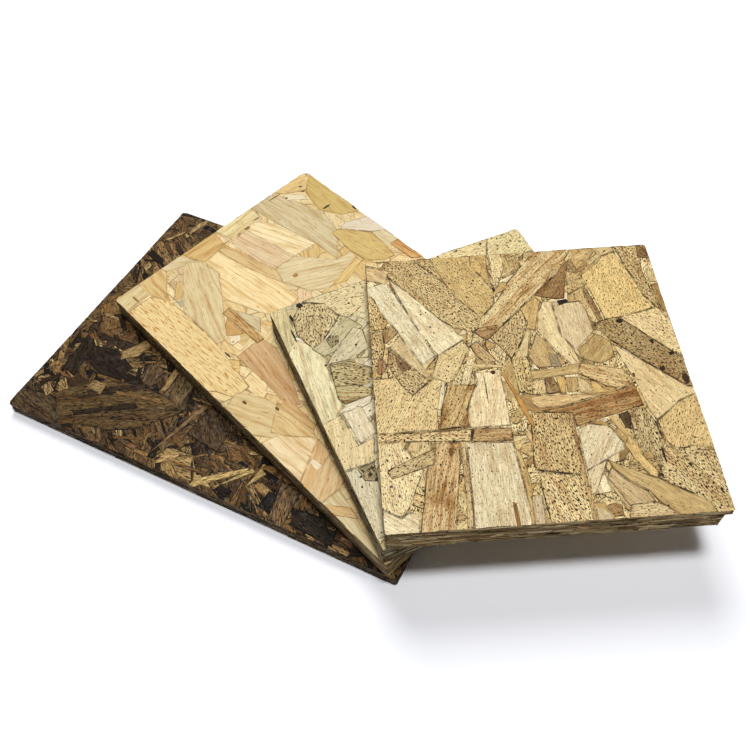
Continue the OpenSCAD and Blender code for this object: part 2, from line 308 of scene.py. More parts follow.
# Visible strands and spots of the pale board's face, in the same form
PALE_STRANDS = [
    ("lined", "#e0d3a2", (0, 160), (0, 206), (14, 206), (11, 190), (9, 172)),
    ("lined", "#e4dab2", (0, 98), (0, 160), (9, 174), (20, 160), (22, 148), (20, 140), (18, 120), (18, 108),
     (10, 99)),
    ("dotted", "#d8cfaa", (25, 204), (27, 206), (90, 206), (84, 190), (66, 184), (52, 176), (45, 180),
     (40, 195)),
    ("dense", "#b9ad88", (13, 192), (25, 204), (40, 196), (45, 180), (28, 165), (17, 160), (11, 176)),
    ("plain", "#cfc49c", (16, 160), (29, 165), (38, 170), (50, 178), (57, 165), (48, 158), (35, 152),
     (22, 150)),
    ("dense", "#8d8468", (28, 163), (32, 166.5), (38, 164), (36, 158), (29, 155)),
    ("plain", "#d9d0b0", (20, 143), (30, 152), (50, 167), (56, 162), (53, 145), (40, 140)),
    ("dense", "#a3966e", (22, 142), (36, 140), (46, 131), (50, 126), (41, 116), (28, 118), (19, 124)),
    ("streaked", "#b8aa7a", (17, 113), (19, 124), (32, 120), (42, 112), (39, 106), (20, 107)),
    ("smooth", "#ebe6d4", (12, 102), (22, 107), (40, 107), (36, 101), (30, 100)),
    ("plain", "#e6dab0", (0, 98), (14, 101), (16, 74), (28, 76), (20, 58), (0, 60)),
    ("smooth", "#e4ddc4", (15, 101), (29, 102), (31, 78), (17, 74)),
    ("plain", "#ddd6ba", (0, 59), (20, 59), (14, 30), (6, 8), (0, 8)),
    ("dense", "#8f866c", (8, 58), (20, 58.5), (17, 44), (9, 48)),
    ("dotted", "#d9cfa4", (124, 205), (178, 205), (165, 182), (138, 190)),
    ("dotted", "#d3c898", (178, 205), (203, 205), (203, 178), (165, 182)),
]

PALE_SPOTS = [
    ("#1c1710", (13, 193), 2.4, 7), ("#1c1710", (22.5, 202), 5, 5), ("#1c1710", (9, 177), 1.4, 14),
    ("#2c261c", (56, 189), 2, 2), ("#2c261c", (46, 151), 2, 2), ("#2c261c", (20, 143), 2, 2),
    ("#2c261c", (6, 45), 1.6, 1.6), ("#2c261c", (8, 52), 2, 1.6), ("#2c261c", (11, 55), 2, 1.6),
    ("#2c261c", (14, 51), 2.4, 3), ("#2c261c", (16, 46), 2, 2), ("#2c261c", (17, 55), 2, 3),
    ("#7a5a34", (192, 195), 2.4, 2), ("#2c261c", (150, 203), 3, 1.6), ("#2c261c", (170, 202), 2.4, 2),
]

# Visible strands of the dark board's face, in the same form
DARK_STRANDS = [
    ("streaked", "#503c1e", (2, 268), (3, 292), (12, 296), (24, 286), (36, 276), (46, 262), (55, 236),
     (54, 214), (62, 196), (48, 192), (34, 204), (22, 214), (12, 232), (8, 252)),
    ("streaked", "#3a2414", (30, 262), (34, 268), (58, 232), (54, 228)),
    ("dark", "#2c1c10", (12, 262), (15, 266), (40, 228), (37, 224)),
    ("dark", "#4a2e18", (20, 244), (24, 248), (34, 214), (30, 212)),
    ("smooth", "#75582e", (40, 246), (43, 248), (52, 208), (49, 206)),
    ("streaked", "#4a3826", (0, 260), (0, 310), (16, 312), (20, 285), (5, 270)),
    ("dark", "#8a6a45", (17, 291), (22, 301), (29, 298), (24, 289)),
    ("dark", "#20150c", (52, 250), (50, 268), (58, 290), (70, 292), (74, 270), (66, 250)),
    ("dark", "#2a1c10", (40, 284), (44, 298), (78, 300), (70, 288)),
    ("smooth", "#94794d", (68, 262), (74, 266), (92, 255), (88, 248), (75, 252)),
    ("smooth", "#8f7448", (35, 256), (37, 270), (44, 268), (45, 257)),
    ("streaked", "#5d4630", (55, 226), (60, 240), (76, 238), (74, 226)),
    ("smooth", "#9a7e4f", (57, 218), (78, 220), (76, 215), (58, 214)),
    ("streaked", "#5f4a2e", (50, 196), (54, 214), (80, 214), (78, 198)),
    ("smooth", "#7a5c3c", (8, 195), (58, 183), (60, 178), (20, 190)),
    ("smooth", "#a58a5a", (3, 188), (12, 185), (20, 172), (10, 178)),
    ("streaked", "#4e3a26", (30, 152), (34, 180), (60, 176), (56, 152)),
    ("smooth", "#b39a62", (0, 155), (6, 155), (30, 125), (26, 125)),
    ("smooth", "#b39a62", (5, 140), (30, 123), (28, 120)),
    ("smooth", "#a88f58", (15, 120), (33, 118), (30, 112)),
    ("dark", "#1c181a", (3, 128), (5, 138), (10, 136), (9, 127)),
    ("dark", "#1c181a", (5, 95), (7, 105), (20, 104), (19, 95)),
    ("dark", "#241b16", (2, 46), (4, 80), (17, 78), (18, 60)),
    ("streaked", "#6d5236", (0, 82), (3, 95), (30, 100), (28, 84)),
    ("dark", "#6e4631", (7, 35), (8, 45), (12, 44), (12, 36)),
    ("smooth", "#a58a55", (185, 306), (200, 297), (203, 293), (190, 300)),
    ("dark", "#8f7448", (150, 298), (153, 303), (161, 302), (158, 297)),
]

# Colours of the strands under and between those, of the unseen faces, and of the sawn edges
SPECKLED_MIX = ["#dcc48e", "#c8a765", "#b99a5e", "#efe3c0", "#d3bb88", "#a2804a", "#8a6a38", "#c3a468",
                "#e2d3a6"]
PINE_MIX = ["#e8cd95", "#ead7a8", "#d8b878", "#ecd9a9", "#dcc09a", "#eddcb0", "#d9cba4", "#e9d3a2", "#d9bd7f"]
PALE_MIX = ["#e6dcb4", "#d7ceaa", "#e2d8b0", "#b8ae88", "#cfc8aa", "#d8cda0", "#e9e4cf", "#b3a574", "#9d9169"]
DARK_MIX = ["#5c4122", "#442d16", "#20140a", "#684a26", "#75542a", "#513519", "#634424", "#2d1c0d", "#876638",
            "#48331c", "#623e21", "#8f703f", "#140c07", "#6f4f27", "#1a1008", "#392510"]
SPECKLED_EDGE = ["#d2c094", "#b4a276", "#e2d0a2", "#9b895f", "#78643e", "#c0a876"]
PINE_EDGE = ["#b3a384", "#9a8a6c", "#c9b892", "#857557", "#a8946c"]
PALE_EDGE = ["#b9ae8c", "#a59a78", "#c9c0a0", "#8f8466", "#7a6f54"]
DARK_EDGE = ["#7d6a4c", "#5d4e38", "#94805c", "#463826", "#6a573c"]

Strand = namedtuple("Strand", "outline colour kind depth heading rim")
Side = namedtuple("Side", "origin along up out")


def linear(hex_colour):
    """Linear colour of an sRGB hex value."""
    parts = [int(hex_colour[i:i + 2], 16) / 255 for i in (1, 3, 5)]
    return [p / 12.92 if p <= 0.04045 else ((p + 0.055) / 1.055) ** 2.4 for p in parts]


def turned(x, y, angle):
    """A plan vector turned by an angle in degrees."""
    a = math.radians(angle)
    return Vector((x * math.cos(a) - y * math.sin(a), x * math.sin(a) + y * math.cos(a)))


FAN_CORNER = -turned(DARK.width / 2, DARK.depth / 2, DARK.turn)


def panel_place(board):
    """Matrix from the board's panel frame in millimetres to the row frame in metres."""
    corner = FAN_CORNER + Vector(board.slip)
    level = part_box(board.node)[0].z
    return (Matrix.Translation((corner.x * MM, corner.y * MM, level))
            @ Matrix.Rotation(math.radians(board.turn), 4, "Z") @ Matrix.Scale(MM, 4))


def sawn_outline(board):
    """Plan outline with worn corners, and the two ends of the chip in its right corner, if it has one."""
    corners = [Vector(c) for c in ((0, 0), (board.width, 0), (board.width, board.depth + board.skew),
                                   (0, board.depth))]
    wears = [CORNER_WEAR, CORNER_WEAR, board.far_wear, CORNER_WEAR]
    outline, chip_ends = [], []
    for i, (here, wear) in enumerate(zip(corners, wears)):
        back = (corners[i - 1] - here).normalized()
        on = (corners[(i + 1) % 4] - here).normalized()
        if i == 1 and board.chip_reach:
            chip_ends = [len(outline), len(outline) + 3]
            outline += [here + back * board.chip_reach, here + back * wear, here + on * wear,
                        here + on * board.chip_reach]
        else:
            outline += [here + back * wear, here + on * wear]
    return outline, chip_ends


def lowered(bm, face, drop):
    """Extrudes a face straight down and returns the new lower face."""
    made = bmesh.ops.extrude_face_region(bm, geom=[face], use_keep_orig=True)["geom"]
    verts = [g for g in made if isinstance(g, bmesh.types.BMVert)]
    bmesh.ops.translate(bm, verts=verts, vec=(0, 0, -drop))
    return next(g for g in made if isinstance(g, bmesh.types.BMFace))


def sawn_block(board, thickness):
    """The board as a plain sawn block, with the chip taken out from under its face strands."""
    bm = bmesh.new()
    outline, chip_ends = sawn_outline(board)
    verts = [bm.verts.new((p.x, p.y, thickness)) for p in outline]
    top = bm.faces.new(verts)
    if chip_ends:
        skin = lowered(bm, top, board.chip_skin)
        reach = [min(skin.verts, key=lambda v: (v.co.xy - outline[i]).length) for i in chip_ends]
        bmesh.utils.face_split(skin, *reach)
        bm.faces.ensure_lookup_table()
        level = thickness - board.chip_skin
        flats = [f for f in bm.faces if all(abs(v.co.z - level) < 0.01 for v in f.verts)]
        floor_face = max(flats, key=lambda f: f.calc_area())
        lowered(bm, floor_face, level)
        if floor_face.is_valid:
            bmesh.ops.delete(bm, geom=[floor_face], context="FACES_ONLY")
    else:
        lowered(bm, top, thickness)
    bmesh.ops.recalc_face_normals(bm, faces=bm.faces)
    bmesh.ops.dissolve_limit(bm, angle_limit=STILL_FLAT, verts=bm.verts, edges=bm.edges)
    return bm


def side_of(face):
    """Flat frame of a block face: along it, up it and out of it."""
    out = Vector([round(c, 6) for c in face.normal]).normalized()
    up = Vector((0, 1, 0)) if abs(out.z) > 0.5 else Vector((0, 0, 1))
    along = Vector((1, 0, 0)) if abs(out.z) > 0.5 else up.cross(out).normalized()
    origin = min((v.co for v in face.verts), key=lambda p: (round(p.dot(along), 3), p.dot(up)))
    origin = Vector((0, 0, origin.z)) if abs(out.z) > 0.5 else Vector((origin.x, origin.y, 0))
    return Side(origin, along, up, out)


def on_side(side, point):
    """A point's place on a side's flat frame."""
    return (point - side.origin).dot(side.along), (point - side.origin).dot(side.up)


def anticlockwise(outline):
    """The outline's corners as vectors, in anticlockwise order."""
    corners = [Vector(p) for p in outline]
    area = sum(a.cross(b) for a, b in zip(corners, corners[1:] + corners[:1]))
    return corners if area > 0 else corners[::-1]


def inner_outline(corners, rim):
    """An anticlockwise outline drawn in by the width of its rim."""
    drawn_in = []
    for a, b, c in zip(corners[-1:] + corners[:-1], corners, corners[1:] + corners[:1]):
        inward = (b - a).orthogonal().normalized() + (c - b).orthogonal().normalized()
        half_turn = max(inward.length / 2, 0.4)
        drawn_in.append(b + inward.normalized() * rim / half_turn)
    return drawn_in


def flat_cells(outline, strands):
    """Cuts the strands and their rims into a side's outline, and gives its points and numbered cells.

    A cell's number is twice the number of the strand that lies on top there, and one more inside its rim.
    Strand 0 is the ground that shows where no strand lies.
    """
    loops = [anticlockwise(outline)]
    for s in strands:
        corners = anticlockwise(s.outline)
        loops += [corners, inner_outline(corners, s.rim)]
    points = [p for loop in loops for p in loop]
    starts = accumulate((len(loop) for loop in loops), initial=0)
    faces = [list(range(start, start + len(loop))) for start, loop in zip(starts, loops)]
    found = delaunay_2d_cdt(points, [], faces, VALID_FACES, SAME_POINT)
    cells = []
    for corners, owners in zip(found[2], found[5]):
        if 0 in owners:
            top = max([(o + 1) // 2 for o in owners if o % 2], default=0)
            cells.append((corners, 2 * top + (2 * top in owners and top > 0)))
    return found[0], cells


def by_place(vert):
    """Sorting key that puts a block's corners in the same order each run."""
    return [round(c, 3) for c in vert.co]


def loops_in_order(face):
    """The loops of a block face, from its lowest corner on."""
    loops = list(face.loops)
    first = loops.index(min(loops, key=lambda loop: by_place(loop.vert)))
    return loops[first:] + loops[:first]


def shared_points(block, flats):
    """Points that the strands of either neighbour make along each block edge, from its lower end on."""
    along_edges = {e: set() for e in block.edges}
    for f, (side, strands) in flats.items():
        outline = [on_side(side, loop.vert.co) for loop in loops_in_order(f)]
        points, cells = flat_cells(outline, strands[1:])
        used = {i for corners, _ in cells for i in corners}
        for e in f.edges:
            a, b = (Vector(on_side(side, v.co)) for v in sorted(e.verts, key=by_place))
            run = b - a
            for i in used:
                reach = (points[i] - a).dot(run) / run.length_squared
                if 0 < reach < 1 and (points[i] - a - run * reach).length < ON_EDGE:
                    along_edges[e].add(reach)
    for e, reaches in along_edges.items():
        kept = [0.0]
        for reach in sorted(reaches):
            if min(reach - kept[-1], 1 - reach) * e.calc_length() > WELD:
                kept.append(reach)
        along_edges[e] = kept[1:]
    return along_edges


def outline_with(side, f, along_edges):
    """A side's outline with the points that it shares with its neighbours."""
    outline = []
    for loop in loops_in_order(f):
        e, here = loop.edge, loop.vert
        there = e.other_vert(here)
        reaches = along_edges[e]
        if by_place(here) > by_place(there):
            reaches = [1 - r for r in reversed(reaches)]
        for reach in [0] + reaches:
            outline.append(on_side(side, here.co.lerp(there.co, reach)))
    return outline


def cut_block(block, flats):
    """A mesh of the block cut into strands, its sides, and its strands as its faces number them."""
    along_edges = shared_points(block, flats)
    bm = bmesh.new()
    side_layer = bm.faces.layers.int.new("side")
    sides, numbered = [], []
    for f, (side, strands) in flats.items():
        points, cells = flat_cells(outline_with(side, f, along_edges), strands[1:])
        verts = [bm.verts.new(side.origin + side.along * p.x + side.up * p.y) for p in points]
        for corners, number in cells:
            turn = 1 if side.along.cross(side.up).dot(side.out) > 0 else -1
            cell = bm.faces.new([verts[i] for i in corners][::turn])
            cell[side_layer] = len(sides)
            cell.material_index = 2 * len(numbered) + number
        sides.append(side)
        numbered += strands
    loose = [v for v in bm.verts if not v.link_faces]
    bmesh.ops.delete(bm, geom=loose, context="VERTS")
    bmesh.ops.remove_doubles(bm, verts=bm.verts, dist=WELD)
    return bm, sides, numbered


def close_slits(bm, side_layer):
    """Takes out loose bits, and closes the slits where the points along a block edge did not meet."""
    lone = [f for f in bm.faces if all(e.is_boundary for e in f.edges)]
    bmesh.ops.delete(bm, geom=lone, context="FACES")
    bmesh.ops.delete(bm, geom=[e for e in bm.edges if not e.link_faces], context="EDGES")
    bmesh.ops.delete(bm, geom=[v for v in bm.verts if not v.link_faces], context="VERTS")
    slits = bmesh.ops.holes_fill(bm, edges=[e for e in bm.edges if e.is_boundary], sides=0)["faces"]
    slits += bmesh.ops.edgeloop_fill(bm, edges=[e for e in bm.edges if e.is_boundary])["faces"]
    for slit in slits:
        neighbour = next(f for e in slit.edges for f in e.link_faces if f not in slits)
        slit[side_layer] = neighbour[side_layer]
        slit.material_index = neighbour.material_index


def scattered_strands(rng, width, height, count, scatter, heading, mix, kinds):
    """Seeded strands that cover a face from below, the long ones first."""
    strands = []
    for i in range(count):
        share = 1 - 0.75 * i / count
        half = rng.uniform(*scatter.length) * share / 2
        wide = rng.uniform(*scatter.breadth) * (0.5 + share / 2) / 2
        angle = heading + rng.gauss(0, HEADING_SPREAD)
        middle = Vector((rng.uniform(-OVERHANG, width + OVERHANG), rng.uniform(-OVERHANG, height + OVERHANG)))
        ends = [(-half, -wide * rng.uniform(0.3, 1)), (-half * rng.uniform(0.6, 0.95), -wide),
                (half * rng.uniform(0.6, 0.95), -wide * rng.uniform(0.8, 1.1)),
                (half, -wide * rng.uniform(0, 0.6)), (half * rng.uniform(0.75, 1), wide),
                (-half * rng.uniform(0.75, 1), wide * rng.uniform(0.8, 1.1))]
        outline = [tuple(middle + turned(x, y, angle)) for x, y in ends]
        colour = varied(rng, rng.choice(mix))
        kind = rng.choice(kinds)
        strands.append(Strand(outline, colour, kind, rng.uniform(*scatter.depth), angle, rim_width(outline)))
    return strands


def edge_strands(rng, length, height, mix):
    """Seeded strand ends in a sawn edge: long flat lenses in wavy layers."""
    strands = []
    for layer in range(2):
        level = -0.5
        while level < height + 0.5:
            pitch = rng.uniform(*EDGE_PITCH)
            at = rng.uniform(-30, 0)
            while at < length:
                run = rng.uniform(*EDGE_RUN) * (1 if layer == 0 else 0.6)
                thick = pitch * rng.uniform(0.7, 1.3)
                rise = level + pitch / 2 + rng.uniform(-0.4, 0.4)
                slope = rng.uniform(-0.02, 0.02)
                if layer == 0 or rng.random() < 0.45:
                    ends = [(0, 0), (run * rng.uniform(0.1, 0.3), -thick / 2),
                            (run * rng.uniform(0.7, 0.9), -thick / 2), (run, 0),
                            (run * rng.uniform(0.7, 0.9), thick / 2),
                            (run * rng.uniform(0.1, 0.3), thick / 2)]
                    outline = [(at + x, rise + y + slope * x) for x, y in ends]
                    strands.append(Strand(outline, varied(rng, rng.choice(mix)), KINDS["edge"],
                                          rng.uniform(*EDGE_DEPTH), 0, rim_width(outline)))
                at += run * rng.uniform(0.75, 1.0)
            level += pitch
    return strands


def varied(rng, hex_colour):
    """A linear colour a little lighter or darker and warmer or cooler than the one given."""
    light, warm = rng.uniform(0.88, 1.1), rng.uniform(0.96, 1.04)
    r, g, b = linear(hex_colour)
    return [min(r * light * warm, 1), min(g * light, 1), min(b * light / warm, 1)]


def rim_width(outline):
    """Width of a strand's pressed rim: less on a narrow strand."""
    corners = [Vector(p) for p in outline]
    pairs = list(zip(corners, corners[1:] + corners[:1]))
    area = abs(sum(a.cross(b) for a, b in pairs)) / 2
    return min(WIDEST_RIM, 0.35 * area / sum((b - a).length for a, b in pairs))


def grain_heading(outline):
    """Direction in degrees along which most of an outline runs: that of a strand's long sides."""
    corners = [Vector(p) for p in outline]
    runs = [b - a for a, b in zip(corners, corners[1:] + corners[:1])]
    along = sum((r.x * r.x - r.y * r.y) / max(r.length, 0.01) for r in runs)
    across = sum(2 * r.x * r.y / max(r.length, 0.01) for r in runs)
    return math.degrees(math.atan2(across, along)) / 2


def past_edges(board, outline):
    """The outline with the corners at the board's edges moved past them, so that the edges cut it cleanly."""
    moved = []
    for x, y in outline:
        far = board.depth + board.skew * x / board.width
        x += (x > board.width - EDGE_SNAP) * EDGE_SNAP * 3 - (x < EDGE_SNAP) * EDGE_SNAP * 3
        y += (y > far - EDGE_SNAP) * EDGE_SNAP * 3 - (y < EDGE_SNAP) * EDGE_SNAP * 3
        moved.append((x, y))
    return moved


def seen_strands(rng, board, strands, spots):
    """The strands and spots that were read from the face, lowest first."""
    laid = []
    for i, (kind, colour, *outline) in enumerate(strands):
        depth = SEEN_DEPTH - SEEN_RISE * i / len(strands)
        outline = past_edges(board, outline)
        laid.append(Strand(outline, varied(rng, colour), KINDS[kind], depth, grain_heading(outline),
                           rim_width(outline)))
    for colour, (x, y), wide, tall in spots:
        ends = [(-wide / 2, 0), (-wide / 5, -tall / 2), (wide / 4, -tall / 2.4), (wide / 2, 0),
                (wide / 5, tall / 2), (-wide / 3, tall / 2.6)]
        outline = [(x + u, y + v) for u, v in ends]
        laid.append(Strand(outline, linear(colour), KINDS["smooth"], FACE_GROUND, grain_heading(outline),
                           rim_width(outline)))
    return laid


def in_sight(strands, width, height):
    """The strands of which something shows, found by laying them lowest first over a grid of points."""
    shown = {}
    for i, strand in enumerate(strands):
        sides = list(zip(strand.outline, strand.outline[1:] + strand.outline[:1]))
        low = max(min(y for _, y in strand.outline), 0)
        high = min(max(y for _, y in strand.outline), height)
        for row in range(math.ceil(low / SIGHT_GRID), math.floor(high / SIGHT_GRID) + 1):
            y = row * SIGHT_GRID
            cuts = sorted(a[0] + (b[0] - a[0]) * (y - a[1]) / (b[1] - a[1]) for a, b in sides
                          if (a[1] > y) != (b[1] > y))
            for left, right in zip(cuts[::2], cuts[1::2]):
                first = math.ceil(max(left, 0) / SIGHT_GRID)
                last = math.floor(min(right, width) / SIGHT_GRID)
                shown.update({(row, column): i for column in range(first, last + 1)})
    return [strands[i] for i in sorted(set(shown.values()))]


def edge_gaps(board, side, place):
    """Outlines of the gaps between strands that the solid has in one sawn edge."""
    bm = bmesh.new()
    bm.from_mesh(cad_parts[board.node].data)
    bm.transform(place.inverted())
    bmesh.ops.remove_doubles(bm, verts=bm.verts, dist=0.001)
    bmesh.ops.dissolve_limit(bm, angle_limit=STILL_FLAT, verts=bm.verts, edges=bm.edges)
    outlines = []
    for f in bm.faces:
        sunk = (side.origin - f.calc_center_median()).dot(side.out)
        if f.normal.dot(side.out) > 0.999 and abs(sunk - GAP_DEPTH) < 0.05 and f.calc_area() < LARGEST_GAP:
            outlines.append([on_side(side, v.co) for v in f.verts])
    bm.free()
    return outlines


def rim_share(strand, point):
    """How far into its rim a point of a strand lies: 1 on its outline, 0 inside the rim."""
    if not strand.outline:
        return 0.0
    corners = [Vector(p) for p in strand.outline]
    nearest = min(off_line(point, a, b) for a, b in zip(corners, corners[1:] + corners[:1]))
    return max(0.0, 1 - nearest / strand.rim)


def off_line(point, a, b):
    """Distance of a flat point from a stretch of line."""
    run = b - a
    reach = min(max((point - a).dot(run) / max(run.length_squared, 1e-9), 0), 1)
    return (a + run * reach - point).length


def press_strands(bm, sides, numbered):
    """Sinks each strand by its own depth below the block's faces, and its rim a little more."""
    side_layer = bm.faces.layers.int["side"]
    rim_layer = bm.loops.layers.float.new("rim")
    bmesh.ops.dissolve_limit(bm, angle_limit=STILL_FLAT, verts=bm.verts, edges=bm.edges, delimit={"MATERIAL"})
    for f in bm.faces:
        strand = numbered[f.material_index // 2]
        for loop in f.loops:
            at = Vector(on_side(sides[f[side_layer]], loop.vert.co))
            loop[rim_layer] = 0.0 if f.material_index % 2 else rim_share(strand, at)
    moves = {}
    for v in bm.verts:
        ragged = abs(noise.cell(v.co * RAGGED_PER_MM))
        move = Vector()
        touched = {f[side_layer] for f in v.link_faces}
        for number in touched:
            loops = [loop for loop in v.link_loops if loop.face[side_layer] == number]
            strands = {loop.face.material_index // 2: loop[rim_layer] for loop in loops}
            depths = [numbered[i].depth for i in strands]
            if len(strands) > 1:
                depth = max(d for d in depths if d < GAP_DEPTH) + GROOVE * (0.5 + ragged / 2)
            else:
                depth = depths[0] + GROOVE * max(strands.values())
            move -= sides[number].out * depth
        moves[v] = move * (1 + ARRIS_RAGGED * ragged) if len(touched) > 1 else move
    for v, move in moves.items():
        v.co += move
    close_slits(bm, side_layer)


def paint_strands(bm, sides, numbered, rng):
    """Writes each strand's colour, traits and grain map to its faces."""
    side_layer = bm.faces.layers.int["side"]
    colour_layer = bm.loops.layers.float_color.new("strand_colour")
    trait_layer = bm.loops.layers.float_color.new("strand_traits")
    grain_layer = bm.loops.layers.uv.new("grain")
    shifts = [(rng.uniform(0, 900), rng.uniform(0, 900)) for _ in numbered]
    pale_ground = linear(PALE_GROUND)
    for f in bm.faces:
        strand = numbered[f.material_index // 2]
        shift = shifts[f.material_index // 2]
        lift = (STAIN_LIFT + FLECK_LIFT * strand.kind.flecks ** 2) * max(strand.colour)
        colour = [c + lift * (pale - c) for c, pale in zip(strand.colour, pale_ground)]
        for loop in f.loops:
            loop[colour_layer] = (*colour, 1)
            loop[trait_layer] = (*strand.kind, 1)
            u, v = on_side(sides[f[side_layer]], loop.vert.co)
            along = turned(u, v, -strand.heading)
            loop[grain_layer].uv = (along.x + shift[0], along.y + shift[1])
        f.material_index = 0


def board_piece(name, board, material, seen, spots, mix, edge_mix, heading, kinds, broad, slivers, seed):
    """One board: its block, the strands cut into every side of it, and its finish."""
    rng = random.Random(seed)
    low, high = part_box(board.node)
    thickness = (high.z - low.z) / MM
    place = panel_place(board)
    block = sawn_block(board, thickness)
    kinds = [KINDS[k] for k in kinds]
    flats = {}
    for f in sorted(block.faces, key=lambda f: [round(c, 2) for c in (*f.normal, *f.calc_center_median())]):
        side = side_of(f)
        far_u = max(on_side(side, v.co)[0] for v in f.verts)
        far_v = max(on_side(side, v.co)[1] for v in f.verts)
        if abs(side.out.z) > 0.5:
            laid = [Strand([], linear(mix[0]), kinds[0], FACE_GROUND, heading, 1)]
            laid += scattered_strands(rng, far_u, far_v, broad, BROAD, heading, mix, kinds)
            laid += scattered_strands(rng, far_u, far_v, slivers, SLIVER, heading, mix, kinds)
            if side.out.z > 0.5:
                laid += seen_strands(rng, board, seen, spots)
            laid = laid[:1] + in_sight(laid[1:], far_u, far_v)
        else:
            laid = [Strand([], linear(edge_mix[-1]), KINDS["edge"], EDGE_GROUND, 0, 1)]
            laid += edge_strands(rng, far_u, thickness, edge_mix)
            for outline in edge_gaps(board, side, place):
                laid.append(Strand(outline, linear(GAP_SHADE), KINDS["smooth"], GAP_DEPTH, 0, 0.1))
        flats[f] = (side, laid)
    bm, sides, numbered = cut_block(block, flats)
    block.free()
    press_strands(bm, sides, numbered)
    paint_strands(bm, sides, numbered, rng)
    bm.transform(place)
    mesh = bpy.data.meshes.new(name)
    bm.to_mesh(mesh)
    bm.free()
    mesh.materials.append(material)
    piece = bpy.data.objects.new(name, mesh)
    bpy.context.scene.collection.objects.link(piece)
    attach(piece, "root")
    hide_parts(board.node)


def add(tree, kind, sockets=None, **settings):
    """Adds a shader node with its settings, links or sets its inputs, and returns its outputs."""
    made = tree.nodes.new("ShaderNode" + kind)
    for setting, value in settings.items():
        setattr(made, setting, value)
    for socket, value in (sockets or {}).items():
        if isinstance(value, bpy.types.NodeSocket):
            tree.links.new(value, made.inputs[socket])
        else:
            made.inputs[socket].default_value = value
    return made.outputs


# Places of the colour sockets on a Mix node, whose sockets share their names
MIX_A, MIX_B, MIX_COLOUR = 6, 7, 2
# Tint of the growth lines
LINE_COLOUR = "#c9a070"
# Paper in the light that it gives back, and as the camera sees it, bright enough to burn out
PAPER = "#e4e3e8"
PAPER_WHITE = (1.16, 1.205, 1.33, 1)


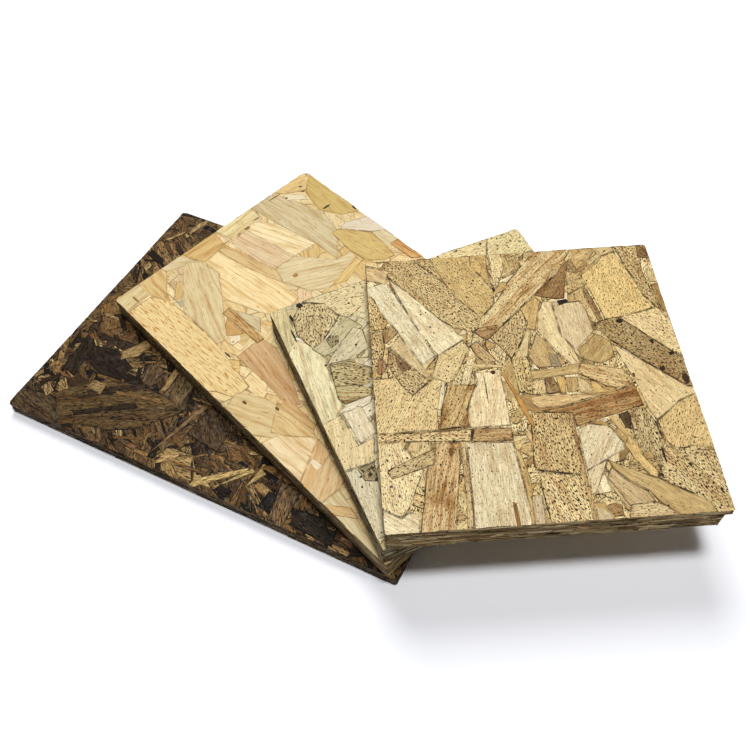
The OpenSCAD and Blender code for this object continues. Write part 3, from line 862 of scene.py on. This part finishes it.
def strand_wood(name, fleck, fleck_colour, resin_and_rim_shade_colour, dot_share, stain_colour, stain, fibre, fibre_shade,
                roughness, specular, resin):
    """Pressed wood strands: fibres and growth lines along each strand, flecks, thin dark rims of resin and
    painted shade, and streaky stains.

    fleck and fibre are lengths along and across the grain in millimetres.
    """
    material = bpy.data.materials.new(name)
    material.use_nodes = True
    tree = material.node_tree
    tree.nodes.clear()
    colour = add(tree, "Attribute", attribute_name="strand_colour")["Color"]
    traits = add(tree, "Attribute", attribute_name="strand_traits")["Color"]
    traits = add(tree, "SeparateColor", {"Color": traits})
    rim = add(tree, "Attribute", attribute_name="rim")["Fac"]
    place = add(tree, "TexCoord")["Object"]

    # The grain map runs along the strand in millimetres, and sways some 2 mm every 30 mm as growth rings do
    grain = add(tree, "UVMap", uv_map="grain")["UV"]
    sway = add(tree, "TexNoise", {"Vector": grain, "Scale": 1 / 30, "Detail": 1.0},
               noise_dimensions="2D")["Color"]
    grain = add(tree, "VectorMath", {0: sway, 1: (0, 4, 0), 2: grain}, operation="MULTIPLY_ADD")["Vector"]

    # Growth lines: about 2 mm apart across the strand and some 70 mm long
    line_place = add(tree, "Mapping", {"Vector": grain, "Scale": (1 / 70, 1 / 2.0, 1)})["Vector"]
    lines = add(tree, "TexNoise", {"Vector": line_place, "Scale": 1.0, "Detail": 2.0, "Roughness": 0.6},
                noise_dimensions="2D")["Fac"]
    lines = add(tree, "MapRange", {"Value": lines, "From Min": 0.45, "From Max": 0.75})["Result"]
    lines = add(tree, "Math", {0: lines, 1: traits["Green"]}, operation="MULTIPLY")["Value"]
    # Fibres: drawn coarser than real ones, so that they show
    fibre_place = add(tree, "Mapping", {"Vector": grain, "Scale": (1 / fibre[0], 1 / fibre[1], 1)})["Vector"]
    fibres = add(tree, "TexNoise", {"Vector": fibre_place, "Scale": 1.0, "Detail": 2.0, "Roughness": 0.7},
                noise_dimensions="2D")["Fac"]
    # Flecks: cut vessels, longer along the grain, whose number the strand's kind sets
    fleck_place = add(tree, "Mapping", {"Vector": grain, "Scale": (1 / fleck[0], 1 / fleck[1], 1)})["Vector"]
    flecks = add(tree, "TexNoise", {"Vector": fleck_place, "Scale": 1.0, "Detail": 1.0, "Roughness": 0.6},
                 noise_dimensions="2D")["Fac"]
    level = add(tree, "MapRange", {"Value": traits["Red"], "To Min": 0.76, "To Max": 0.53})["Result"]
    flecks = add(tree, "Math", {0: flecks, 1: level}, operation="SUBTRACT")["Value"]
    flecks = add(tree, "MapRange", {"Value": flecks, "From Min": 0.0, "From Max": 0.07})["Result"]
    # Pitch dots: cells of 6 x 4 mm, of which some hold a dark dot of about 1 mm
    dot_place = add(tree, "Mapping", {"Vector": grain, "Scale": (1 / 6, 1 / 4, 1)})["Vector"]
    cells = add(tree, "TexVoronoi", {"Vector": dot_place, "Scale": 1.0}, voronoi_dimensions="2D")
    chance = add(tree, "SeparateColor", {"Color": cells["Color"]})
    share = add(tree, "Math", {0: traits["Red"], 1: dot_share}, operation="MULTIPLY")["Value"]
    held = add(tree, "Math", {0: chance["Red"], 1: share}, operation="LESS_THAN")["Value"]
    size = add(tree, "MapRange", {"Value": chance["Green"], "To Min": 0.05, "To Max": 0.17})["Result"]
    dots = add(tree, "Math", {0: size, 1: cells["Distance"]}, operation="SUBTRACT")["Value"]
    dots = add(tree, "MapRange", {"Value": dots, "From Min": 0.0, "From Max": 0.04})["Result"]
    dots = add(tree, "Math", {0: dots, 1: held}, operation="MULTIPLY")["Value"]
    # Rims: a thin dark line, partly resin and partly painted shade in the crease between strands, broken up
    # every few millimetres
    broken = add(tree, "TexNoise", {"Vector": place, "Scale": 1 / (6 * MM), "Detail": 2.0})["Fac"]
    broken = add(tree, "MapRange", {"Value": broken, "From Min": 0.34, "From Max": 0.57,
                                    "To Min": 0.12})["Result"]
    rims = add(tree, "MapRange", {"Value": rim, "From Min": 0.15, "From Max": 0.55})["Result"]
    rims = add(tree, "Math", {0: rims, 1: broken}, operation="MULTIPLY")["Value"]
    rims = add(tree, "Math", {0: rims, 1: traits["Blue"]}, operation="MULTIPLY")["Value"]
    # Stains: streaky clouds, some 25 mm long on the grain and 6 mm wide
    cloud_place = add(tree, "Mapping", {"Vector": grain, "Scale": (1 / 25, 1 / 6, 1)})["Vector"]
    cloud = add(tree, "TexNoise", {"Vector": cloud_place, "Scale": 1.0, "Detail": 3.0, "Roughness": 0.6},
                noise_dimensions="2D")["Fac"]
    cloud = add(tree, "MapRange", {"Value": cloud, "From Min": 0.48, "From Max": 0.72,
                                   "To Max": stain})["Result"]
    cloud = add(tree, "Math", {0: cloud, 1: traits["Green"]}, operation="MULTIPLY")["Value"]

    shade = add(tree, "MapRange", {"Value": fibres, "From Min": 0.3, "From Max": 0.7,
                                   "To Min": 1 - fibre_shade, "To Max": 1 + fibre_shade})["Result"]
    tint = add(tree, "Mix", {0: 1.0, MIX_A: colour, MIX_B: shade}, data_type="RGBA", blend_type="MULTIPLY")
    for strength, mark in ((lines, LINE_COLOUR), (cloud, stain_colour), (flecks, fleck_colour)):
        tint = add(tree, "Mix", {0: strength, MIX_A: tint[MIX_COLOUR], MIX_B: (*linear(mark), 1)},
                   data_type="RGBA", blend_type="MULTIPLY")
    # Pitch dots, and the rim line of resin and painted shade between strands, darken the colour
    marks = add(tree, "Math", {0: dots, 1: rims}, operation="MAXIMUM")["Value"]
    tint = add(tree, "Mix", {0: marks, MIX_A: tint[MIX_COLOUR], MIX_B: (*linear(resin_and_rim_shade_colour), 1)},
               data_type="RGBA")

    height = add(tree, "Math", {0: fibres, 1: flecks}, operation="SUBTRACT")["Value"]
    bump = add(tree, "Bump", {"Height": height, "Strength": 0.5, "Distance": 0.15 * MM})["Normal"]
    gloss = add(tree, "MapRange", {"Value": fibres, "From Min": 0.3, "From Max": 0.7,
                                   "To Min": roughness[0], "To Max": roughness[1]})["Result"]
    # Resin: glossy smears some 5 mm wide, which catch the light
    smear = add(tree, "TexNoise", {"Vector": place, "Scale": 1 / (5 * MM), "Detail": 3.0,
                                   "Roughness": 0.7})["Fac"]
    smear = add(tree, "MapRange", {"Value": smear, "From Min": 0.66 - 0.2 * resin,
                                   "From Max": 0.72 - 0.2 * resin, "To Min": 1.0, "To Max": 0.4})["Result"]
    gloss = add(tree, "Math", {0: gloss, 1: smear}, operation="MULTIPLY")["Value"]
    shader = add(tree, "BsdfPrincipled", {"Base Color": tint[MIX_COLOUR], "Roughness": gloss, "Normal": bump,
                                          "IOR": 1.45, "Specular IOR Level": specular})
    add(tree, "OutputMaterial", {"Surface": shader["BSDF"]})
    return material


def floor_finish():
    """White paper floor: pale in the light that it gives back, and white for the camera but in shadow."""
    material = bpy.data.materials.new("white_paper")
    material.use_nodes = True
    tree = material.node_tree
    tree.nodes.clear()
    light_path = add(tree, "LightPath")
    seen = add(tree, "Math", {0: light_path["Is Camera Ray"], 1: light_path["Is Glossy Ray"]},
               operation="MAXIMUM")["Value"]
    colour = add(tree, "Mix", {0: seen, MIX_A: (*linear(PAPER), 1), MIX_B: PAPER_WHITE},
                 data_type="RGBA")[MIX_COLOUR]
    shader = add(tree, "BsdfDiffuse", {"Color": colour})
    add(tree, "OutputMaterial", {"Surface": shader["BSDF"]})
    return material


# Dark hardwood strands, pressed hot with much resin: deep browns, fibrous, with glossy smears
dark_wood = strand_wood(
    "pressed_dark_hardwood_strands", fleck=(5, 1.0), fleck_colour="#33220f", resin_and_rim_shade_colour="#0e0703",
    dot_share=0.3, stain_colour="#54442f", stain=0.8, fibre=(5, 0.8), fibre_shade=0.8,
    roughness=(0.6, 0.9), specular=0.2, resin=0.55)
# Pine strands, pressed and left raw: warm and pale, with soft growth lines, faint rims and few flecks
pine_wood = strand_wood(
    "pressed_pine_strands", fleck=(9, 0.9), fleck_colour="#cf9f5c", resin_and_rim_shade_colour="#7a5a30",
    dot_share=0.06, stain_colour="#d8c08c", stain=0.8, fibre=(8, 0.7), fibre_shade=0.10,
    roughness=(0.6, 0.8), specular=0.25, resin=0.0)
# Poplar strands, weathered before they were pressed: greyish cream, with grey stains and dark specks
pale_wood = strand_wood(
    "pressed_pale_poplar_strands", fleck=(2.6, 1.0), fleck_colour="#6c624e", resin_and_rim_shade_colour="#33291a",
    dot_share=0.3, stain_colour="#aaa28a", stain=1.0, fibre=(7, 0.7), fibre_shade=0.22,
    roughness=(0.6, 0.8), specular=0.25, resin=0.0)
# Aspen strands, pressed with a little resin: cream and tan, with dark flecks on the grain and dark rims of
# resin and painted shade
speckled_wood = strand_wood(
    "pressed_speckled_aspen_strands", fleck=(2.0, 0.7), fleck_colour="#2a1606", resin_and_rim_shade_colour="#2c1908",
    dot_share=0.3, stain_colour="#b8945a", stain=1.0, fibre=(8, 0.6), fibre_shade=0.34,
    roughness=(0.55, 0.8), specular=0.25, resin=0.2)
board_piece("dark_board", DARK, dark_wood, DARK_STRANDS, [], DARK_MIX, DARK_EDGE, heading=60,
            kinds=("streaked", "dense", "dark", "smooth"), broad=120, slivers=900, seed=11)
board_piece("pine_board", PINE, pine_wood, PINE_STRANDS, PINE_SPOTS, PINE_MIX, PINE_EDGE, heading=80,
            kinds=("lined", "plain"), broad=260, slivers=60, seed=12)
board_piece("pale_board", PALE, pale_wood, PALE_STRANDS, PALE_SPOTS, PALE_MIX, PALE_EDGE, heading=60,
            kinds=("plain", "dotted", "lined"), broad=260, slivers=60, seed=13)
board_piece("speckled_board", SPECKLED, speckled_wood, SPECKLED_STRANDS, SPECKLED_SPOTS, SPECKLED_MIX,
            SPECKLED_EDGE, heading=70, kinds=("plain", "dotted", "dense"), broad=260, slivers=140, seed=14)

# Floor
FLOOR_REACH = 6.0
floor_mesh = bpy.data.meshes.new("floor")
floor_bm = bmesh.new()
bmesh.ops.create_grid(floor_bm, x_segments=1, y_segments=1, size=FLOOR_REACH)
floor_bm.to_mesh(floor_mesh)
floor_bm.free()
floor_mesh.materials.append(floor_finish())
floor = bpy.data.objects.new("floor", floor_mesh)
bpy.context.scene.collection.objects.link(floor)

# Camera at the photograph's angle, found from the boards' corners
LENS_MM = 41.58
AZIMUTH, ELEVATION, ROLL = -0.731, 53.345, -3.267
DISTANCE = 643.91 * MM
TARGET = Vector((76.18, -7.78, 0)) * MM
azimuth, elevation, roll = (math.radians(a) for a in (AZIMUTH, ELEVATION, ROLL))
forward = Vector((-math.sin(azimuth) * math.cos(elevation), math.cos(azimuth) * math.cos(elevation),
                  -math.sin(elevation)))
level_right = Vector((math.cos(azimuth), math.sin(azimuth), 0))
level_up = level_right.cross(forward)
right = level_right * math.cos(roll) + level_up * math.sin(roll)
up = level_up * math.cos(roll) - level_right * math.sin(roll)
camera = bpy.data.objects.new("camera", bpy.data.cameras.new("camera"))
camera.data.lens = LENS_MM
camera.data.clip_start = 0.01
camera_turn = Matrix((right, up, -forward)).transposed().to_4x4()
camera.matrix_world = Matrix.Translation(TARGET - forward * DISTANCE) @ camera_turn
bpy.context.scene.collection.objects.link(camera)
bpy.context.scene.camera = camera

# A small lamp overhead, whose shadow falls straight under the overhang, and a wide soft one behind:
# place and width in metres, and watts
LAMPS = {
    "overhead_lamp": ((0.25, -0.25, 2.0), 0.4, 21),
    "back_softbox": ((0.0, 1.2, 1.7), 1.2, 26),
}
LAMP_TINT = (1.0, 0.97, 0.92)
ROOM_LIGHT = 0.06
for lamp_name, (lamp_place, lamp_size, lamp_watts) in LAMPS.items():
    lamp = bpy.data.objects.new(lamp_name, bpy.data.lights.new(lamp_name, "AREA"))
    lamp.data.shape = "DISK"
    lamp.data.size = lamp_size
    lamp.data.energy = lamp_watts
    lamp.data.color = LAMP_TINT
    lamp.location = lamp_place
    lamp.rotation_mode = "QUATERNION"
    lamp.rotation_quaternion = (TARGET - lamp.location).to_track_quat("-Z", "Y")
    bpy.context.scene.collection.objects.link(lamp)
world = bpy.data.worlds.new("room")
world.use_nodes = True
world.node_tree.nodes["Background"].inputs["Color"].default_value = (1, 1, 1, 1)
world.node_tree.nodes["Background"].inputs["Strength"].default_value = ROOM_LIGHT
bpy.context.scene.world = world
bpy.context.scene.view_settings.view_transform = "Standard"
